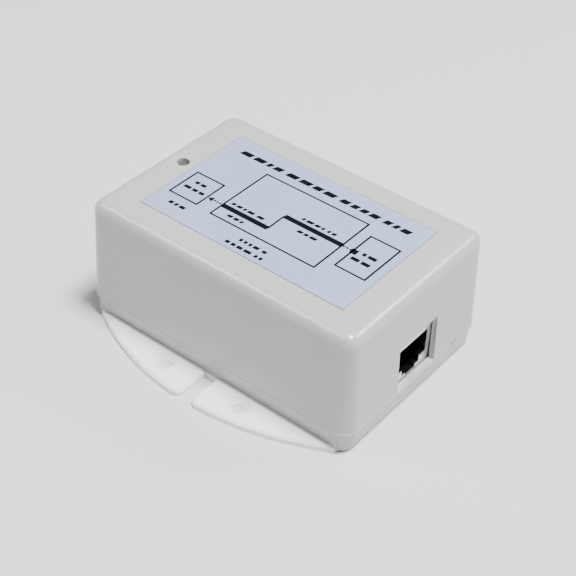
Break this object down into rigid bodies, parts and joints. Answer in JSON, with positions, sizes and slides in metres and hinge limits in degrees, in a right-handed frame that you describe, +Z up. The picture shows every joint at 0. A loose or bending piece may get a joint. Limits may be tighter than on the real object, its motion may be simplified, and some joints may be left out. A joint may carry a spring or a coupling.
{
  "type": "poe injector",
  "caption": "Power over Ethernet DC/DC injector in a rounded two-piece case with crescent screw flanges, a diagram label and a modular socket at each end.",
  "frame": {"origin": "middle of the underside, on the plane the flanges are screwed to", "axes": "+X towards the input socket, +Y towards a long side with a flange, +Z up through the labelled top"},
  "size_m": [0.0796, 0.073, 0.0338],
  "materials": {
    "case_plastic": "light grey-white moulded ABS, fine satin spark finish",
    "label_film": "bluish-white laminated polyester label, printed in black",
    "steel_screw": "zinc-plated steel",
    "board_laminate": "green solder mask over glass-epoxy laminate",
    "led_epoxy": "diffused epoxy lens, unlit",
    "tinned_wire": "tin-plated copper",
    "sleeve_rubber": "black heat-shrink sleeving",
    "ferrite": "ground dark grey ferrite",
    "bobbin_plastic": "black glass-filled nylon",
    "winding_tape": "yellow polyester tape over the windings",
    "capacitor_sleeve": "dark PVC sleeve over an aluminium can",
    "choke_coating": "green epoxy-coated ring core",
    "enamelled_copper": "enamelled copper wire",
    "anodised_aluminium": "extruded aluminium, dark anodised",
    "chip_epoxy": "black moulding compound",
    "disc_coating": "blue epoxy-dipped ceramic disc",
    "fuse_plastic": "dark brown thermoplastic cap",
    "chip_ceramic": "ceramic chip bodies",
    "socket_plastic": "black glass-filled thermoplastic",
    "socket_shield": "bright tin-plated sheet",
    "contact_gold": "gold-plated phosphor bronze"
  },
  "bodies": {
    "root": {"base_plate": "case_plastic", "cover_screws": "steel_screw", "board_screws": "steel_screw", "circuit_board": "board_laminate", "status_led_lens": "led_epoxy", "status_led_leads": "tinned_wire", "status_led_sleeves": "sleeve_rubber", "transformer_core": "ferrite", "transformer_bobbin": "bobbin_plastic", "transformer_winding": "winding_tape", "input_capacitor": "capacitor_sleeve", "output_capacitors": "capacitor_sleeve", "input_choke_core": "choke_coating", "input_choke_windings": "enamelled_copper", "output_inductor_core": "ferrite", "output_inductor_winding": "enamelled_copper", "heat_sink": "anodised_aluminium", "switching_transistor": "chip_epoxy", "transistor_screw": "steel_screw", "input_magnetics": "chip_epoxy", "output_magnetics": "chip_epoxy", "bridge_rectifiers": "chip_epoxy", "controller_chip": "chip_epoxy", "optocoupler": "chip_epoxy", "isolation_capacitor": "disc_coating", "rectifier_diode": "chip_epoxy", "surge_suppressor": "chip_epoxy", "input_fuse": "fuse_plastic", "chip_capacitors": "chip_ceramic", "chip_resistors": "chip_ceramic", "input_socket_housing": "socket_plastic", "input_socket_shield": "socket_shield", "input_socket_pins": "tinned_wire", "output_socket_housing": "socket_plastic", "output_socket_shield": "socket_shield", "output_socket_pins": "tinned_wire"},
    "cover": {"top_cover": "case_plastic", "label": "label_film"},
    "input_contacts": {"input_socket_contacts": "contact_gold"},
    "output_contacts": {"output_socket_contacts": "contact_gold"}
  },
  "joints": [
    {"name": "cover_lift", "type": "slide", "parent": "root", "child": "cover", "axis": [0, 0, 1], "range_m": [0, 0.045]},
    {"name": "input_contact_flex", "type": "hinge", "parent": "root", "child": "input_contacts", "pos_m": [0.035, 0, 0.0174], "axis": [0, 1, 0], "range_deg": [0, 9], "stiffness_Nm_per_rad": 0.4},
    {"name": "output_contact_flex", "type": "hinge", "parent": "root", "child": "output_contacts", "pos_m": [-0.035, 0, 0.0174], "axis": [0, -1, 0], "range_deg": [0, 9], "stiffness_Nm_per_rad": 0.4}
  ]
}
